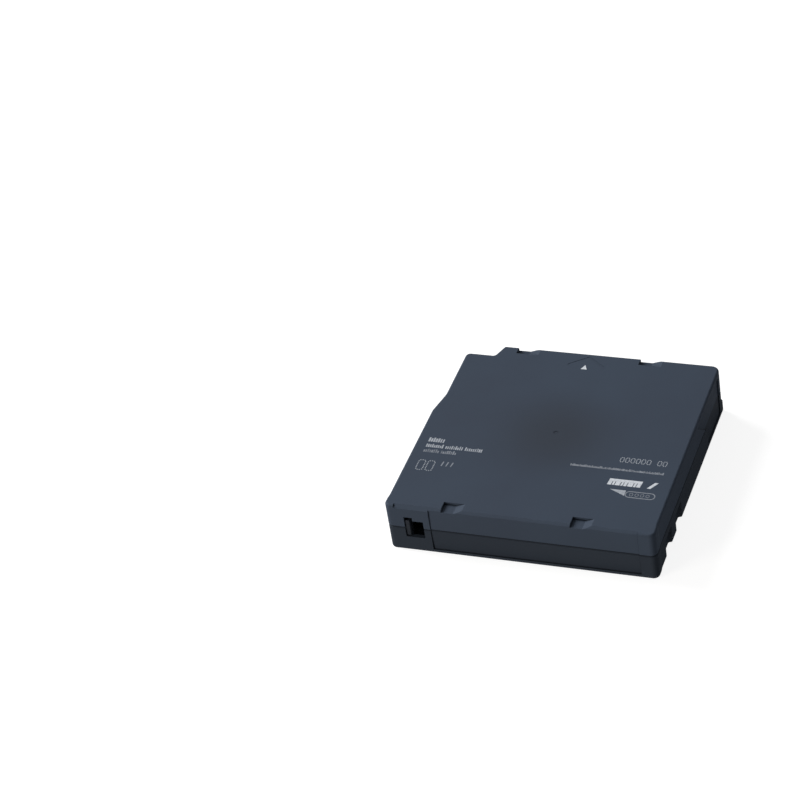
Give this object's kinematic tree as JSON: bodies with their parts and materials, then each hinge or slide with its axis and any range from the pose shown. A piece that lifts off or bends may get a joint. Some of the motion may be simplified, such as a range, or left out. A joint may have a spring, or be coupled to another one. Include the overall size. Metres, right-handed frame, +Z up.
{
  "type": "data tape cartridge",
  "caption": "Flat square data tape cartridge with a geared reel, a sliding side door, a leader pin, a write-protect slider and a sunk label panel.",
  "frame": {"origin": "centre of the footprint, on the bottom face that the cartridge rests on", "axes": "+X across the width to the right seen from the label end, +Y the loading direction, +Z up out of the top face"},
  "size_m": [0.1054, 0.102, 0.0215],
  "materials": {
    "shell_plastic": "dark slate blue-grey polycarbonate, fine spark-eroded grain",
    "door_plastic": "dark slate polycarbonate, fine grain",
    "slider_plastic": "dark moulded acetal",
    "reel_plastic": "grey glass-filled polycarbonate, moulded",
    "flange_plastic": "grey polycarbonate, polished",
    "natural_plastic": "natural acetal",
    "brake_plastic": "natural acetal",
    "clip_plastic": "black moulded plastic",
    "tape_film": "dark brown coated polyester film, wound",
    "clutch_steel": "pressed ferritic stainless steel",
    "pin_steel": "turned stainless steel",
    "spring_steel": "drawn spring wire",
    "sheet_steel": "rolled stainless sheet",
    "screw_steel": "zinc-plated steel",
    "board": "green solder mask on glass-filled board",
    "chip": "black moulded epoxy"
  },
  "bodies": {
    "case": {"bottom_shell": "shell_plastic", "top_shell": "shell_plastic", "leader_pin": "pin_steel", "tape_clip": "clip_plastic", "tape_end": "tape_film", "pin_spring": "sheet_steel", "memory_board": "board", "memory_chip": "chip", "brake_spring": "spring_steel", "door_spring": "spring_steel", "case_screw_front_left": "screw_steel", "case_screw_front_right": "screw_steel", "case_screw_rear_left": "screw_steel", "case_screw_rear_right": "screw_steel"},
    "reel": {"reel_hub": "reel_plastic", "upper_flange": "flange_plastic", "clutch_plate": "clutch_steel", "tape_pack": "tape_film"},
    "release_pad": {"release_pad": "natural_plastic"},
    "brake": {"brake_button": "brake_plastic"},
    "door": {"access_door": "door_plastic"},
    "slider": {"write_protect_slider": "slider_plastic"}
  },
  "joints": [
    {"name": "reel_spin", "type": "hinge", "parent": "case", "child": "reel", "pos_m": [0, 0.001, 0], "axis": [0, 0, 1], "continuous": true},
    {"name": "brake_lift", "type": "slide", "parent": "case", "child": "brake", "axis": [0, 0, 1], "range_m": [0, 0.0016], "stiffness_N_per_m": 800, "springref_m": -0.003, "deforming": ["brake_spring"]},
    {"name": "release_pad_lift", "type": "slide", "parent": "reel", "child": "release_pad", "axis": [0, 0, 1], "range_m": [0, 0.0016]},
    {"name": "door_slide", "type": "slide", "parent": "case", "child": "door", "axis": [0, -1, 0], "range_m": [0, 0.0155], "stiffness_N_per_m": 30, "springref_m": -0.015, "deforming": ["door_spring"]},
    {"name": "write_protect_slide", "type": "slide", "parent": "case", "child": "slider", "axis": [1, 0, 0], "range_m": [0, 0.0054]}
  ],
  "couplings": [
    {"joint": "release_pad_lift", "follows": "brake_lift", "ratio": 1}
  ]
}
